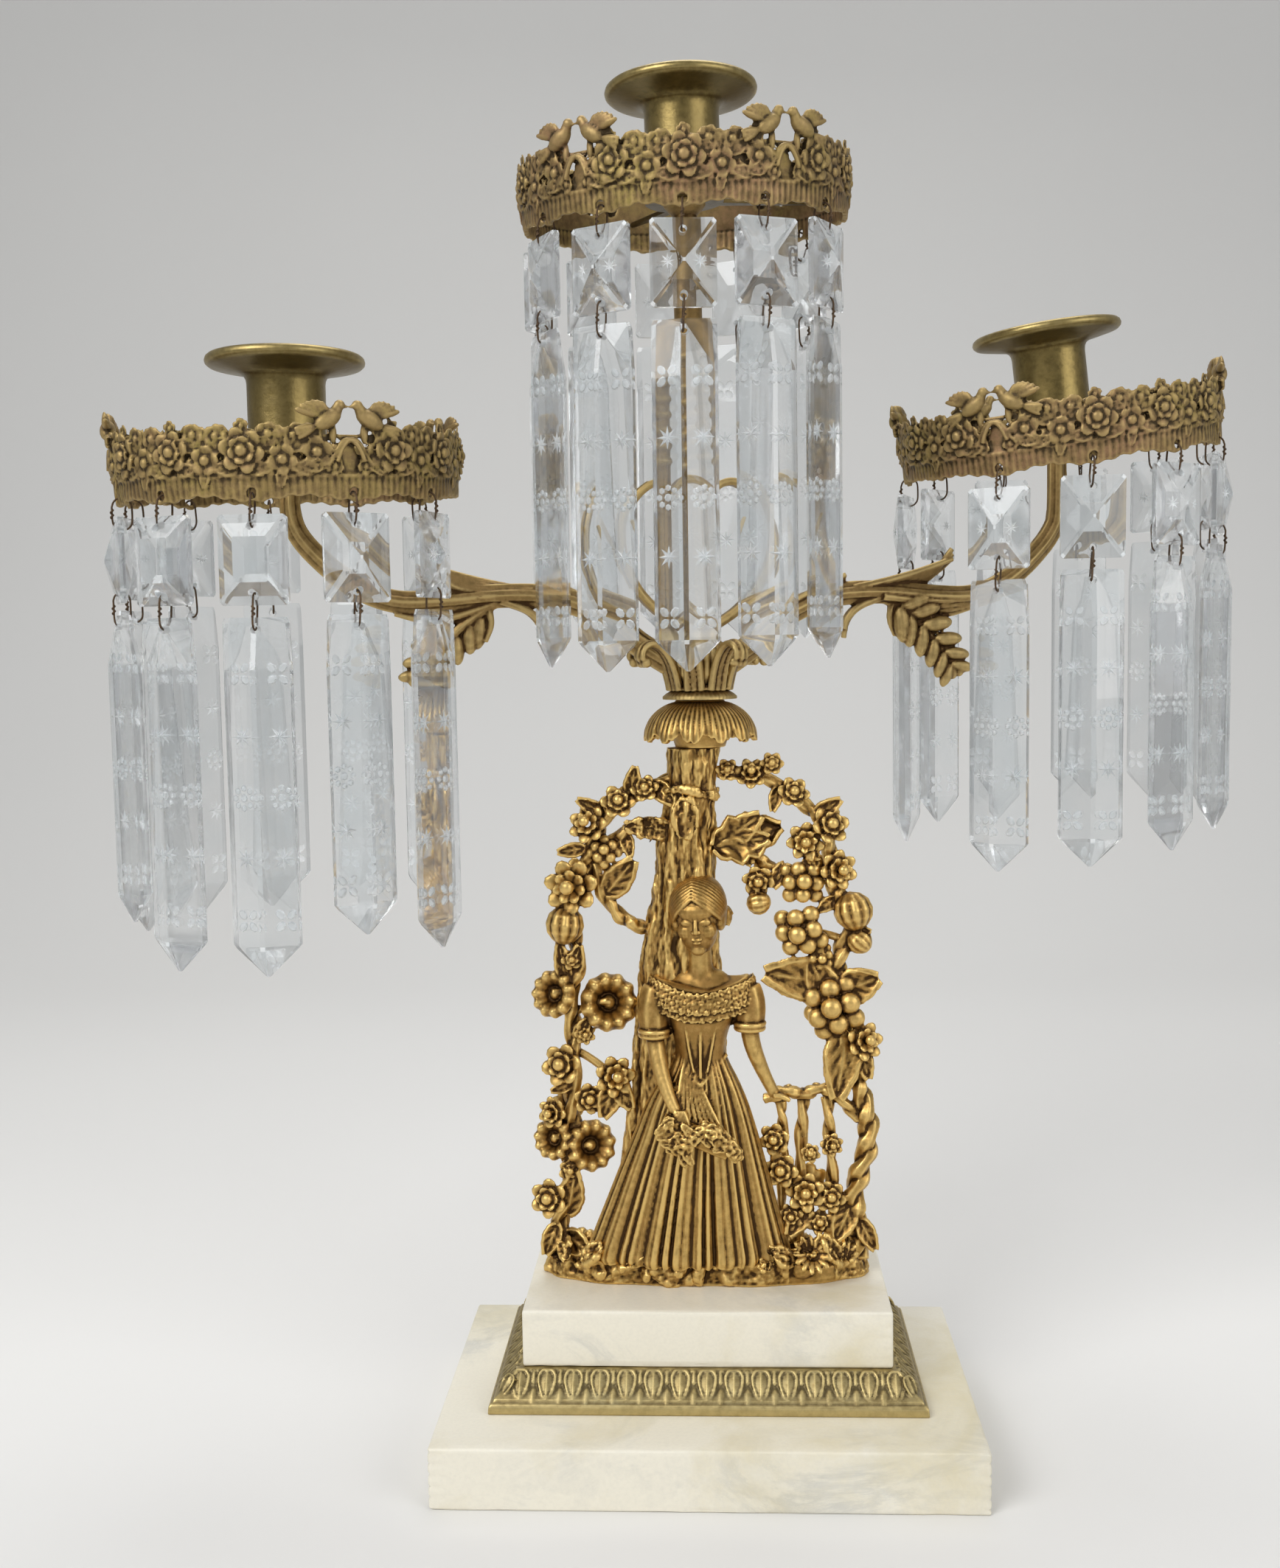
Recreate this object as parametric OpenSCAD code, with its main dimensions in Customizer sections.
// Girandole: three candle branches with pierced crowns and hanging cut-glass drops.
// Millimetres, +Z up, origin on the stem axis at table level, front toward -Y.

/* [Plinth] */
// Width of the lower marble slab
lower_w = 175; // [150:1:200]
// Depth of the lower marble slab
lower_d = 110; // [104:1:130]
// Thickness of the lower marble slab
lower_h = 20; // [17:0.5:26]
// Width of the upper marble slab
upper_w = 122; // [116:1:128]
// Depth of the upper marble slab
upper_d = 58; // [54:1:64]
// Thickness of the upper marble slab
upper_h = 19; // [14:0.5:24]
// Eased edge on both slabs
slab_ease = 1.2; // [0.6:0.1:2]
// Reach of the brass moulding beyond the upper slab
mould_reach = 10.5; // [8:0.5:12]
// Height of the brass moulding
mould_h = 11.5; // [9:0.5:14]
// Upright lip at the foot of the moulding
mould_lip = 3.5; // [2.5:0.5:5]
// Metal thickness of the moulding
mould_t = 2; // [1.6:0.1:2.6]
// Distance of the lower slab's centre in front of the stem
lower_shift = 10; // [6:1:13]
// Distance of the upper slab's centre in front of the stem
upper_shift = 3; // [0:0.5:5]

/* [Casting] */
// Height of the figure casting above the upper slab
casting_h = 184; // [170:1:200]
// Marble left clear at each end of the casting
ground_margin = 4.5; // [2:0.5:8]
// Depth of the ground under the figure
ground_d = 27; // [24:0.5:30]
// Height of the ground under the hem
ground_h = 9; // [7:0.5:11]
// Diameter of the trunk where the collar sits
trunk_d = 16; // [14:0.5:18]
// Height of the drooping leaf collar
collar_h = 16; // [12:0.5:20]
// Diameter across the tips of the leaf collar
collar_d = 39; // [34:0.5:44]
// Diameter of the tie rod
rod_d = 6; // [5:0.25:7]

/* [Branches] */
// Turn of the branches on the stem as they stand
branch_turn = 13; // [0:1:20]
// Distance of the left candle from the stem
left_reach = 133; // [127:0.5:138]
// Distance of the right candle from the stem
right_reach = 128; // [123:0.5:133]
// Height of the left crown seat above the hub
left_rise = 74.5; // [70:0.5:84]
// Height of the right crown seat above the hub
right_rise = 88; // [78:0.5:92]
// Height of the top crown seat above the hub
top_rise = 163.5; // [156:0.5:176]
// Outward lift of the right crown on its bent arm
right_lean = 7; // [0:0.5:8]
// Lean of the bent centre stem toward the left arm
stem_lean = 1.2; // [0:0.1:3]
// Thickness of the arms
arm_d = 7.4; // [6.4:0.2:8]
// Diameter of the hub
hub_d = 22; // [20:0.5:24]
// Diameter of the centre stem
stem_d = 9.5; // [8:0.25:10.5]
// Diameter of the stud that carries each crown and nozzle
stud_d = 6.4; // [5.4:0.2:7]

/* [Crowns] */
// Outside diameter of a crown
crown_d = 108; // [104:0.5:112]
// Metal thickness of a crown
band_t = 1.6; // [1.4:0.1:2]
// Height from scallop tip to flower tops
band_h = 22; // [19:0.5:24]
// Drop of the scallop tips below the crown seat
band_drop = 10; // [8.5:0.25:11]
// Forward nod of the top crown
top_nod = 6; // [0:0.5:7]
// Forward nod of the side crowns
side_nod = 4; // [0:0.5:6]
// Hole for a drop ring in each scallop
hook_hole_d = 2.6; // [2.2:0.1:3]
// Thickness of the spider plate that carries a crown
spider_t = 1.5; // [1.2:0.1:2]

/* [Nozzles] */
// Bore that takes the candle
candle_bore_d = 22; // [20:0.25:23]
// Length of the candle bore
bore_depth = 21; // [16:0.5:22]
// Wall of the nozzle
nozzle_wall = 1.3; // [1.1:0.1:1.8]
// Diameter of the drip pan
pan_d = 50; // [44:0.5:54]
// Height of a nozzle above its spider
nozzle_h = 35.5; // [34:0.5:38]

/* [Drops] */
// Width of a glass button
button_w = 20; // [17:0.25:20.5]
// Height of a glass button
button_h = 26; // [22:0.5:28]
// Thickness of a glass button
button_t = 8; // [6:0.25:9]
// Width of a glass prism
prism_w = 20; // [17:0.25:20.5]
// Length of a long glass prism
prism_long = 105; // [96:0.5:108]
// Length of a short glass prism
prism_short = 95; // [88:0.5:102]
// Thickness of a glass prism
prism_t = 8; // [6:0.25:8.5]
// Wire of the drop rings
wire_d = 0.9; // [0.7:0.05:1]
// Hole to hole distance of the upper ring
upper_ring = 9.5; // [8.5:0.25:10.5]
// Hole to hole distance of the lower ring
lower_ring = 10.5; // [9:0.25:11.5]

/* [Clearances] */
// Running clearance between turning metal parts
turn_gap = 0.3; // [0.2:0.05:0.5]
// Clearance of a rod or stud in its hole
slip = 0.3; // [0.2:0.05:0.4]

/* [Hidden] */
$fn = 48;

brass = [0.66, 0.50, 0.26];
bronze = [0.52, 0.41, 0.24];
marble = [0.93, 0.91, 0.86];
iron = [0.40, 0.38, 0.36];
glass = [0.82, 0.88, 0.92];

// Heights of the stack, from the table up
z_mould = lower_h;
z_upper = z_mould + mould_h;
z_cast = z_upper + upper_h;
z_collar = z_cast + casting_h;
z_hub = z_collar + collar_h;
hub_h = 20;
rod_hole_r = rod_d / 2 + slip;
rod_bite = 13;
rod_top = z_hub + rod_bite;

// Nut and washer in the recess under the lower slab
recess_r = 13;
recess_h = 9;
washer_t = 2;
nut_h = 5;
nut_af = 11;

// Branch ends: 0 left, 1 right, 2 top
arm_angle = [180 + branch_turn, branch_turn, 0];
stem_h = top_rise - hub_h;
arm_reach = [left_reach, right_reach, -stem_h * sin(stem_lean)];
rise = [left_rise, right_rise, hub_h + stem_h * cos(stem_lean)];
lean = [0, right_lean, stem_lean];
nod = [side_nod, side_nod, top_nod];
seat = [for (k = [0:2]) [
  arm_reach[k] * cos(arm_angle[k]), arm_reach[k] * sin(arm_angle[k]), z_hub + rise[k]
]];
cup_h = 4;
cup_r = 7;
stud_h = 8;
stud_hole_r = stud_d / 2 + slip;

// Crown proportions
crown_r = crown_d / 2;
band_in = crown_r - band_t;
mid_r = crown_r - band_t / 2;
lobe_r = 6;
lobe_h = 3;
mound_r = 6;
hook_z = -band_drop + 3;
band_top = band_h - band_drop;
saddle_r = 9;
step_side = 32;
left_first = branch_turn + 36;
right_first = 224 + branch_turn;
left_angles = [for (i = [0:9]) left_first + step_side * i];
right_angles = [for (i = [0:9]) right_first + step_side * i];
top_angles = concat(
  [for (i = [0:4]) branch_turn + 201 + 28 * i], [for (i = [0:4]) branch_turn + 27 + 30 * i]
);
drop_angles = [left_angles, right_angles, top_angles];
bird_angles = [[304, 195, 105, 40], [237, 350, 100, 165], [234, 306, 54, 126]];
short_left = [0, 0, 0, 0, 0, 1, 0, 0, 1, 0];
prism_len = [
  [for (i = [0:9]) short_left[i] == 1 ? prism_short : prism_long],
  [for (i = [0:9]) prism_short],
  [for (i = [0:9]) prism_long]
];

// Drop proportions
hole_inset = 3.5;
glass_hole_r = 1.2;
wire_r = wire_d / 2;
girdle = 2;

// Moves children from a crown seat's own frame to the model frame
module at_seat(k) {
  translate(seat[k])
    rotate([0, 0, arm_angle[k]])
      rotate([0, -lean[k], 0])
        rotate([0, 0, -arm_angle[k]])
          children();
}

// Tapered limb between two points
module limb(p, q, a, b, n = 6) {
  hull() {
    translate(p) sphere(r = a, $fn = n);
    translate(q) sphere(r = b, $fn = n);
  }
}

// Run of limbs along a list of points
module vine(pts, a, b, n = 6) {
  last = len(pts) - 1;
  for (i = [0:last - 1])
    limb(pts[i], pts[i + 1], a + (b - a) * i / last, a + (b - a) * (i + 1) / last, n);
}

// Flat leaf from its stalk to its tip
module leaf(p, q, w) {
  hull() {
    translate(p) sphere(r = 1.1, $fn = 6);
    translate((p + q) / 2) scale([1, 0.45, 1]) sphere(r = w, $fn = 8);
    translate(q) sphere(r = 0.8, $fn = 6);
  }
}

// Flower head in the plane of the arbor, on a stalk from a point of the vine
module bloom(p, r, from) {
  translate(p) scale([1, 0.6, 1]) sphere(r = r, $fn = 8);
  limb(from, p, 1.5, 1.7);
}

// Thin oval slice used to loft the figure
module slice(x, y, z, w, d) {
  translate([x, y, z]) scale([w, d, 1]) cylinder(r = 1, h = 0.6, $fn = 18);
}

module eased_slab(w, d, h) {
  hull() {
    translate([-w / 2 + slab_ease, -d / 2 + slab_ease, 0])
      cube([w - 2 * slab_ease, d - 2 * slab_ease, h]);
    translate([-w / 2, -d / 2 + slab_ease, slab_ease])
      cube([w, d - 2 * slab_ease, h - 2 * slab_ease]);
    translate([-w / 2 + slab_ease, -d / 2, slab_ease])
      cube([w - 2 * slab_ease, d, h - 2 * slab_ease]);
  }
}

module lower_slab() {
  color(marble)
    difference() {
      translate([0, -lower_shift, 0]) eased_slab(lower_w, lower_d, lower_h);
      translate([0, 0, -1]) cylinder(r = recess_r, h = recess_h + 1);
      cylinder(r = rod_hole_r, h = lower_h + 1);
    }
}

module upper_slab() {
  color(marble)
    translate([0, 0, z_upper])
      difference() {
        translate([0, -upper_shift, 0]) eased_slab(upper_w, upper_d, upper_h);
        translate([0, 0, -1]) cylinder(r = rod_hole_r, h = upper_h + 2);
      }
}

// Sloping frame of given half sizes at foot and head
module slope(w0, d0, w1, d1, h) {
  hull() {
    translate([-w0 / 2, -d0 / 2, 0]) cube([w0, d0, 0.01]);
    translate([-w1 / 2, -d1 / 2, h - 0.01]) cube([w1, d1, 0.01]);
  }
}

module base_moulding() {
  w0 = upper_w + 2 * mould_reach;
  d0 = upper_d + 2 * mould_reach;
  w1 = upper_w + 2;
  d1 = upper_d + 2;
  t = 2 * mould_t;
  color(brass)
    translate([0, -upper_shift, z_mould])
      difference() {
        union() {
          translate([-w0 / 2, -d0 / 2, 0]) cube([w0, d0, mould_lip]);
          translate([0, 0, mould_lip]) slope(w0 - 2, d0 - 2, w1, d1, mould_h - mould_lip);
        }
        translate([-w0 / 2 + mould_t, -d0 / 2 + mould_t, -1])
          cube([w0 - t, d0 - t, mould_lip + 1 - mould_t / 2]);
        translate([0, 0, mould_lip - mould_t / 2 - 0.01])
          slope(w0 - t - 2, d0 - t - 2, w1 - t - 2, d1 - t - 2, mould_h - mould_lip - mould_t / 2);
        translate([-w1 / 2 + 8, -d1 / 2 + 8, 0]) cube([w1 - 16, d1 - 16, mould_h + 1]);
      }
}

// Ground, trunk and lady, in casting heights
module lady() {
  hull() {
    slice(-6, -4.5, ground_h - 1, 34, 11);
    slice(-6, -4.5, ground_h + 16, 30, 10.5);
  }
  hull() {
    slice(-6, -4.5, ground_h + 16, 30, 10.5);
    slice(-3, -5, 56, 19, 9);
  }
  hull() {
    slice(-3, -5, 56, 19, 9);
    slice(-1.5, -5, 80, 8.6, 6.5);
  }
  hull() {
    slice(-1.5, -5, 80, 8.6, 6.5);
    slice(-0.5, -5.5, 96, 12.5, 8);
  }
  hull() {
    slice(-0.5, -5.5, 96, 17, 8);
    slice(0, -5, 104, 15, 6.5);
    slice(-0.5, -5, 109, 5, 4.5);
  }
  limb([-0.8, -5.5, 108], [-1.2, -6, 120], 4.2, 4.2, 8);
  hull() {
    translate([-1.5, -7, 130]) scale([0.9, 0.95, 1]) sphere(r = 10.5, $fn = 10);
    translate([-1.5, -8, 120]) sphere(r = 4.5, $fn = 8);
    translate([2, -2, 127]) sphere(r = 7.5, $fn = 8);
  }
  limb([15.5, -6, 101], [15, -7, 91], 4.8, 4.2);
  limb([15, -7, 91], [24, -4, 64], 3, 2.4);
  limb([-16, -6.5, 101], [-15.5, -9, 88], 4.8, 4.2);
  limb([-15.5, -9, 88], [-8, -13.5, 63], 3, 2.4);
  limb([-12, -13, 62], [8, -14, 50], 4, 4.6);
}

module trunk() {
  r = trunk_d / 2;
  hull() {
    translate([0, 0, 170]) cylinder(r = r, h = 14, $fn = 14);
    translate([-2, 1, 150]) sphere(r = r + 0.5, $fn = 12);
  }
  hull() {
    translate([-2, 1, 150]) sphere(r = r + 0.5, $fn = 12);
    slice(-8, 1, 104, 15, 8);
  }
  hull() {
    slice(-8, 1, 104, 15, 8);
    slice(-9, 1, 60, 17, 8);
  }
  hull() {
    slice(-9, 1, 60, 17, 8);
    slice(-10, 2, 2, 24, 9);
  }
}

module ground(w) {
  hull() {
    slice(0, 1.5, 0, w / 2, ground_d / 2);
    slice(0, 1.5, ground_h - 4, w / 2 - 3, ground_d / 2 - 1);
  }
  hull() {
    slice(-4, 0, 2, w / 2 - 10, ground_d / 2);
    slice(-4, 0, ground_h - 0.5, w / 2 - 18, ground_d / 2 - 2);
  }
}

module arbor_left() {
  vine([
    [-50, 1, 5], [-51, 1, 19], [-48, 0, 31], [-46, 0, 46], [-46, 0, 62], [-45, 0, 84],
    [-46, 0, 98], [-43, 0, 110], [-45, 0, 124], [-44, 0, 136], [-38, 0, 148], [-33, 0, 160],
    [-22, 1, 168], [-5, 1, 176]
  ], 2.6, 2.4);
  vine([[-14, 1, 122], [-23, 0, 123], [-32, 0, 131], [-38, 0, 146]], 3, 2);
  vine([[-9, 1, 158], [-20, 0, 158], [-28, 0, 154], [-37, 0, 147]], 3, 2);
  bloom([-44, -1, 136], 8, [-40, 0, 146]);
  bloom([-46, -1, 124], 5.5, [-45, 0, 120]);
  bloom([-52, -1, 100], 6.5, [-46, 0, 98]);
  bloom([-32, -1, 97], 7, [-45, 0, 92]);
  bloom([-48, -1, 75], 5.5, [-45, 0, 80]);
  bloom([-31, -1, 70], 6, [-45, 0, 74]);
  bloom([-40, -1, 63], 4.5, [-46, 0, 60]);
  bloom([-52, -1, 58], 5, [-46, 0, 56]);
  bloom([-53, -1, 49], 5.5, [-46, 0, 48]);
  bloom([-38, -1, 46], 6.5, [-46, 0, 44]);
  bloom([-54, -1, 28], 5.5, [-50, 0, 26]);
  bloom([-38, -1, 158], 5.5, [-34, 0, 158]);
  bloom([-28, -1, 165], 5, [-26, 0, 165]);
  leaf([-33, 0, 134], [-24, -1, 144], 3);
}

module arbor_right() {
  vine([
    [52, 1, 5], [52, 1, 18], [51, 0, 29], [54, 0, 39], [56, 0, 49], [55, 0, 59], [52, 0, 68],
    [48, 0, 76], [46, 0, 86], [46, 0, 98], [46, 0, 110], [50, 0, 122], [46, 0, 132],
    [44, 0, 144], [42, 0, 156], [34, 0, 165], [22, 0, 173], [6, 1, 175]
  ], 3, 2.4);
  vine([[5, 1, 150], [12, 0, 153], [19, 0, 146], [27, 0, 142], [43, 0, 140]], 2.4, 2);
  bloom([43, -1, 157], 6, [40, 0, 158]);
  bloom([35, -1, 152], 5.5, [42, 0, 154]);
  bloom([45, -1, 142], 6, [44, 0, 140]);
  bloom([34, -1, 138], 5.5, [44, 0, 136]);
  bloom([50, -1, 128], 6, [48, 0, 126]);
  bloom([33, -1, 121], 6, [47, 0, 118]);
  bloom([19, -1, 132], 4, [19, 0, 146]);
  bloom([44, -1, 95], 7.5, [46, 0, 98]);
  bloom([31, -1, 168], 5, [30, 0, 168]);
  bloom([17, -1, 175], 4.5, [18, 0, 174]);
  leaf([46, 0, 104], [22, -1, 107], 6);
  leaf([46, 0, 100], [57, -1, 104], 5);
  leaf([44, 0, 92], [36, -1, 109], 4);
  leaf([48, 0, 90], [46, -1, 72], 5);
  leaf([8, 1, 152], [20, -1, 160], 3.4);
  leaf([10, 1, 152], [22, -1, 153], 3.4);
}

module fence() {
  vine([[24, -2, 63], [34, 0, 65], [45, 0, 63], [53, 0, 55]], 2.4, 2.2);
  limb([34, 0, 63], [31, 1, 8], 1.9, 2.2);
  limb([42, 0, 62], [44, 1, 6], 1.9, 2.2);
  bloom([24, -1, 49], 5, [33, 0, 48]);
  bloom([26, -1, 38], 5.5, [32, 0, 36]);
  bloom([34, -2, 30], 6, [32, 0, 24]);
  bloom([43, -1, 28], 5.5, [44, 0, 22]);
  bloom([36, -6, 10], 6, [34, 0, 8]);
}

module figure_casting() {
  w = upper_w - 2 * ground_margin;
  color(bronze)
    translate([0, 0, z_cast])
      difference() {
        union() {
          ground(w);
          scale([w / 113, ground_d / 27, casting_h / 184]) {
            lady();
            trunk();
            arbor_left();
            arbor_right();
            fence();
          }
        }
        translate([0, 0, -1]) cylinder(r = rod_hole_r + 0.2, h = casting_h + 2, $fn = 16);
        translate([-100, -100, casting_h]) cube([200, 200, 20]);
        translate([-100, -100, -30]) cube([200, 200, 30]);
      }
}

module leaf_collar() {
  r = collar_d / 2;
  h = collar_h;
  color(brass)
    translate([0, 0, z_collar])
      difference() {
        rotate_extrude()
          polygon([
            [rod_hole_r, 0], [trunk_d / 2, 0], [trunk_d / 2 + 1, h * 0.45], [r - 2.5, h * 0.22],
            [r, h * 0.14], [r + 0.2, h * 0.32], [r - 2.6, h * 0.66], [hub_d / 2 + 2, h],
            [rod_hole_r, h]
          ]);
        for (i = [0:11])
          rotate([0, 0, 30 * i + 15])
            translate([r - 3.5, 0, 0]) rotate([0, 90, 0]) cylinder(r = 3, h = 8);
      }
}

module tie_rod() {
  z0 = recess_h - washer_t - nut_h - 1.5;
  color(iron)
    translate([0, 0, z0]) cylinder(r = rod_d / 2, h = rod_top - z0);
}

module base_washer() {
  color(iron)
    translate([0, 0, recess_h - washer_t])
      difference() {
        cylinder(r = recess_r - 2, h = washer_t);
        translate([0, 0, -1]) cylinder(r = rod_d / 2 + slip, h = washer_t + 2);
      }
}

module base_nut() {
  color(iron)
    translate([0, 0, recess_h - washer_t - nut_h])
      difference() {
        cylinder(r = nut_af / sqrt(3), h = nut_h, $fn = 6);
        translate([0, 0, -1]) cylinder(r = rod_d / 2 + 0.1, h = nut_h + 2);
      }
}

module branch_hub() {
  r = hub_d / 2;
  color(brass)
    translate([0, 0, z_hub + turn_gap])
      difference() {
        rotate_extrude()
          polygon([
            [0, 0], [r + 1.5, 0], [r + 1.5, 1.6], [r - 2.5, 4], [r - 2.5, 5.6], [r, 7],
            [r, hub_h - 4], [r - 4, hub_h - turn_gap], [0, hub_h - turn_gap]
          ]);
        translate([0, 0, -1]) cylinder(r = rod_d / 2 + turn_gap, h = rod_bite + 2);
      }
}

module hub_leaves() {
  r = hub_d / 2;
  color(brass)
    translate([0, 0, z_hub])
      difference() {
        for (i = [0:7])
          rotate([0, 0, branch_turn + 22.5 + 45 * i])
            vine([
              [r - 1, 0, 4.5], [r + 2, 0, 10], [r + 6, 0, 15], [r + 11, 0, 16], [r + 13, 0, 13]
            ], 2, 1.2);
        cylinder(r = r + 0.15, h = 40, $fn = 48);
        translate([0, 0, -10]) cylinder(r = 40, h = 10 + turn_gap + 2);
      }
}

// One arm along +X from the hub; ends in a cup and stud at the crown seat
module arm(k) {
  r = hub_d / 2;
  f = arm_reach[k];
  a = arm_d / 2;
  top = rise[k];
  difference() {
    union() {
      vine([
        [r - 3, 0, 11.5], [0.16 * f, 0, 19.5], [0.24 * f, 0, 28.5], [0.36 * f, 0, 34.5],
        [0.5 * f, 0, 35.5], [0.64 * f, 0, 34], [0.76 * f, 0, 34], [0.86 * f, 0, 39.5],
        [0.94 * f, 0, 48.5], [0.985 * f, 0, 56], [f, 0, 63], [f, 0, top - cup_h - 1]
      ], a + 1, a - 0.6, 8);
      vine([[0.46 * f, 0, 37], [0.56 * f, 0, 40], [0.66 * f, 0, 44], [0.7 * f, 0, 50]], 2.6, 1.2);
      vine([[0.5 * f, 0, 34], [0.58 * f, 0, 28], [0.66 * f, 0, 18], [0.7 * f, 0, 8]], 2.8, 1.4);
      leaf([0.56 * f, 0, 30], [0.69 * f, 0, 27], 4);
      leaf([0.6 * f, 0, 25], [0.72 * f, 0, 19], 4);
      leaf([0.58 * f, 0, 27], [0.6 * f, 0, 14], 4);
      leaf([0.54 * f, 0, 31], [0.53 * f, 0, 20], 4);
      translate([f, 0, top])
        rotate([0, -lean[k], 0]) {
          translate([0, 0, -cup_h]) cylinder(r1 = cup_r - 2.5, r2 = cup_r, h = cup_h, $fn = 24);
          cylinder(r = stud_d / 2, h = stud_h, $fn = 24);
        }
    }
    cylinder(r = r + 0.15, h = 40, $fn = 48);
  }
}

module left_arm() {
  color(brass) translate([0, 0, z_hub]) rotate([0, 0, arm_angle[0]]) arm(0);
}

module right_arm() {
  color(brass) translate([0, 0, z_hub]) rotate([0, 0, arm_angle[1]]) arm(1);
}

module centre_stem() {
  r = stem_d / 2;
  h = stem_h;
  color(brass)
    translate([0, 0, z_hub + hub_h])
      difference() {
        rotate([0, -stem_lean, 0])
          rotate_extrude()
            polygon([
              [0, -1], [r + 2, -1], [r + 2, 2.5], [r, 4.5], [r, h - 14], [r - 0.8, h - 12],
              [r - 0.8, h - cup_h], [cup_r, h - 1], [cup_r, h], [stud_d / 2, h],
              [stud_d / 2, h + stud_h], [0, h + stud_h]
            ]);
        translate([-20, -20, -10]) cube([40, 40, 10]);
      }
}

module stem_scrolls() {
  r = stem_d / 2;
  color(brass)
    translate([0, 0, z_hub + hub_h]) rotate([0, -stem_lean, 0])
      difference() {
        for (s = [0, 180])
          rotate([0, 0, branch_turn + s])
            vine([
              [r + 1, 0, 4], [r + 9, 0, 10], [r + 16, 0, 18], [r + 20, 0, 28], [r + 20, 0, 38],
              [r + 16, 0, 47], [r + 10, 0, 52], [r + 5, 0, 52], [r + 1, 0, 49]
            ], 2.4, 1.8);
        translate([0, 0, -20]) cylinder(r = 60, h = 20.2);
        cylinder(r = r + 0.15, h = 80, $fn = 48);
        cylinder(r1 = r + 4.15, r2 = r + 0.15, h = 4.5, $fn = 48);
      }
}

// Facing bird with raised wings, drawn in width and height
module bird() {
  polygon([
    [0.6, 3.2], [2.2, 3.6], [3.6, 4.6], [5, 7.6], [6.8, 8.6], [6.6, 5.8], [9.4, 4.6],
    [6.2, 2.6], [5.2, -3], [2.4, -3], [2, 1.6]
  ]);
}

// Radial peg through the band at a given turn and height
module peg(a, z, r) {
  rotate([0, 0, a])
    translate([band_in - 4, 0, z]) rotate([0, 90, 0]) cylinder(r = r, h = band_t + 8);
}

module crown(k) {
  half = [step_side / 2, step_side / 2, 14.5];
  difference() {
    intersection() {
      translate([0, 0, -band_drop - 1])
        difference() {
          cylinder(r = crown_r, h = band_h + 14, $fn = 96);
          translate([0, 0, -1]) cylinder(r = band_in, h = band_h + 16, $fn = 96);
        }
      union() {
        translate([0, 0, -band_drop + lobe_h])
          cylinder(r = crown_r + 2, h = band_h - lobe_h - 4);
        for (a = drop_angles[k]) {
          peg(a, -band_drop + lobe_r, lobe_r);
          peg(a + half[k], -band_drop + lobe_r + 0.6, lobe_r);
        }
        for (i = [0:14]) peg(24 * i + 7, band_top - mound_r, mound_r);
        for (a = bird_angles[k]) peg(a, band_top - saddle_r + 0.5, saddle_r);
        for (a = bird_angles[k])
          for (s = [0, 1])
            rotate([0, 0, a])
              mirror([0, s, 0])
                translate([band_in - 4, 0, band_top - 1])
                  rotate([90, 0, 90]) linear_extrude(band_t + 8) bird();
      }
    }
    for (a = drop_angles[k]) peg(a, hook_z, hook_hole_d / 2);
    for (a = bird_angles[k]) {
      peg(a - 4.4, band_top - 6, 2.6);
      peg(a + 4.4, band_top - 6, 2.6);
    }
  }
}

module left_crown() {
  color(bronze) at_seat(0) rotate([nod[0], 0, 0]) crown(0);
}

module right_crown() {
  color(bronze) at_seat(1) rotate([nod[1], 0, 0]) crown(1);
}

module top_crown() {
  color(bronze) at_seat(2) rotate([nod[2], 0, 0]) crown(2);
}

// Plate and four bent arms that carry a crown on its seat
module spider(k) {
  at_seat(k) {
    difference() {
      cylinder(r = 13, h = spider_t);
      translate([0, 0, -1]) cylinder(r = stud_hole_r, h = spider_t + 2);
    }
    for (i = [0:3]) {
      a = 22 + 90 * i;
      p = [(band_in - 1.2) * cos(a), (band_in - 1.2) * sin(a), 0.75];
      q = [p[0], p[1] * cos(nod[k]) - p[2] * sin(nod[k]), p[1] * sin(nod[k]) + p[2] * cos(nod[k])];
      hull() {
        translate([12 * cos(a), 12 * sin(a), spider_t / 2])
          cylinder(r = 2, h = spider_t - 0.2, center = true, $fn = 8);
        translate(q) sphere(r = 1, $fn = 8);
      }
    }
  }
}

module left_spider() {
  color(bronze) spider(0);
}

module right_spider() {
  color(bronze) spider(1);
}

module top_spider() {
  color(bronze) spider(2);
}

module nozzle() {
  b = candle_bore_d / 2;
  n = b + nozzle_wall;
  p = pan_d / 2;
  h = nozzle_h;
  bore_top = h - 3;
  floor_z = bore_top - bore_depth;
  translate([0, 0, spider_t])
    difference() {
      rotate_extrude()
        polygon([
          [0, 0], [n - 1, 0], [n + 2.4, 2.2], [n + 2.6, 4], [n + 0.6, 6.4], [n, 10],
          [n, h - 8], [n + 0.8, h - 6.4], [n + 3.2, h - 5.2], [p - 1.2, h - 3.4], [p, h - 2.2],
          [p, h - 0.7], [p - 1, h], [p - 2.4, h - 0.6], [p - 3.4, h - 1.8], [b + 3.5, h - 3],
          [b, bore_top], [b, floor_z], [0, floor_z]
        ]);
      translate([0, 0, -1]) cylinder(r = stud_hole_r, h = stud_h - spider_t + 1.6);
    }
}

module left_nozzle() {
  color(bronze) at_seat(0) nozzle();
}

module right_nozzle() {
  color(bronze) at_seat(1) nozzle();
}

module top_nozzle() {
  color(bronze) at_seat(2) nozzle();
}

// Wire ring that joins two holes one above the other
module ring(d) {
  translate([0, 0, -d / 2])
    rotate([0, 90, 0]) rotate_extrude() translate([d / 2, 0]) circle(r = wire_r, $fn = 16);
}

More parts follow.
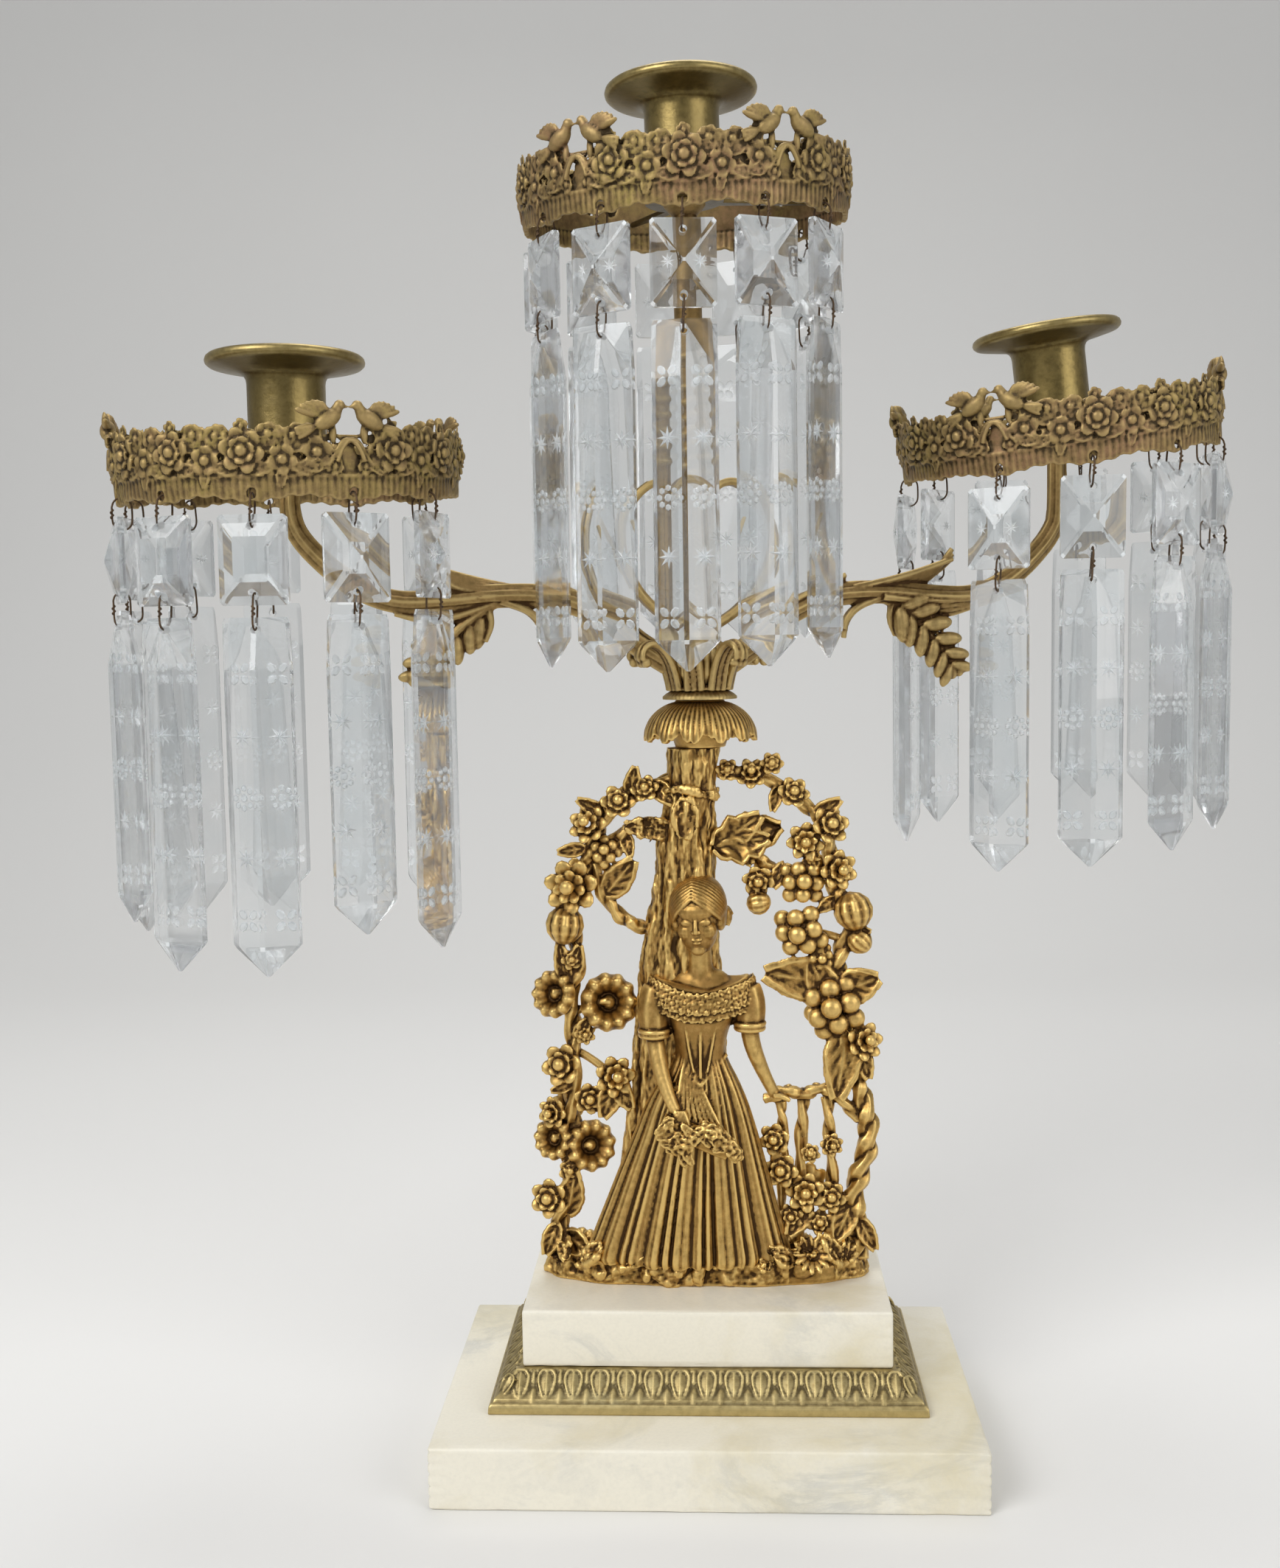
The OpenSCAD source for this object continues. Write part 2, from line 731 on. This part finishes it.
// Square-cut button, facing +Y
module button() {
  w = button_w / 2;
  h = button_h;
  f = (button_t - girdle) * 0.6;
  b = (button_t - girdle) * 0.4;
  difference() {
    hull() {
      translate([-w, -girdle / 2, -h]) cube([2 * w, girdle, h]);
      translate([-0.6, -girdle / 2 - b, -h / 2 - 3.6]) cube([1.2, girdle + b + f, 7.2]);
    }
    for (z = [-hole_inset, hole_inset - h])
      translate([0, -10, z]) rotate([-90, 0, 0]) cylinder(r = glass_hole_r, h = 20, $fn = 16);
  }
}

// Long prism with a front ridge, a thin top and a pointed foot
module prism(l) {
  w = prism_w / 2;
  t = prism_t;
  difference() {
    hull() {
      translate([-w + 1, -1.2, -2]) cube([2 * w - 2, 2.6, 2]);
      translate([0, 0, -l + 9])
        linear_extrude(l - 24)
          polygon([
            [-w, -0.2 * t], [-w + 1.6, -0.4 * t], [w - 1.6, -0.4 * t], [w, -0.2 * t],
            [w, 0.05 * t], [0.8, 0.6 * t], [-0.8, 0.6 * t], [-w, 0.05 * t]
          ]);
      translate([-0.5, -0.6, -l]) cube([1, 1.2, 1]);
    }
    translate([0, -10, -hole_inset]) rotate([-90, 0, 0]) cylinder(r = glass_hole_r, h = 20, $fn = 16);
  }
}

// Drop number i of crown k, hung upright from its hole
module drop(k, i) {
  a = drop_angles[k][i];
  n = nod[k];
  c = [mid_r * cos(a), mid_r * sin(a) * cos(n) - hook_z * sin(n),
       mid_r * sin(a) * sin(n) + hook_z * cos(n)];
  z_button = -upper_ring + hole_inset;
  z_prism = z_button - button_h + 2 * hole_inset - lower_ring;
  e = arm_angle[k];
  u = c[0] * cos(e) + c[1] * sin(e);
  v = -c[0] * sin(e) + c[1] * cos(e);
  uu = u * cos(lean[k]) - c[2] * sin(lean[k]);
  ww = u * sin(lean[k]) + c[2] * cos(lean[k]);
  color(glass)
    translate(seat[k] + [uu * cos(e) - v * sin(e), uu * sin(e) + v * cos(e), ww])
      rotate([0, 0, a - 90]) {
        ring(upper_ring);
        translate([0, 0, z_button]) button();
        translate([0, 0, z_button - button_h + hole_inset]) ring(lower_ring);
        translate([0, 0, z_prism]) prism(prism_len[k][i]);
      }
}

lower_slab();
base_moulding();
upper_slab();
figure_casting();
leaf_collar();
tie_rod();
base_washer();
base_nut();
branch_hub();
hub_leaves();
left_arm();
right_arm();
centre_stem();
stem_scrolls();
left_crown();
right_crown();
top_crown();
left_spider();
right_spider();
top_spider();
left_nozzle();
right_nozzle();
top_nozzle();
drop(0, 0);  // drop_left_01
drop(0, 1);  // drop_left_02
drop(0, 2);  // drop_left_03
drop(0, 3);  // drop_left_04
drop(0, 4);  // drop_left_05
drop(0, 5);  // drop_left_06
drop(0, 6);  // drop_left_07
drop(0, 7);  // drop_left_08
drop(0, 8);  // drop_left_09
drop(0, 9);  // drop_left_10
drop(1, 0);  // drop_right_01
drop(1, 1);  // drop_right_02
drop(1, 2);  // drop_right_03
drop(1, 3);  // drop_right_04
drop(1, 4);  // drop_right_05
drop(1, 5);  // drop_right_06
drop(1, 6);  // drop_right_07
drop(1, 7);  // drop_right_08
drop(1, 8);  // drop_right_09
drop(1, 9);  // drop_right_10
drop(2, 0);  // drop_top_01
drop(2, 1);  // drop_top_02
drop(2, 2);  // drop_top_03
drop(2, 3);  // drop_top_04
drop(2, 4);  // drop_top_05
drop(2, 5);  // drop_top_06
drop(2, 6);  // drop_top_07
drop(2, 7);  // drop_top_08
drop(2, 8);  // drop_top_09
drop(2, 9);  // drop_top_10
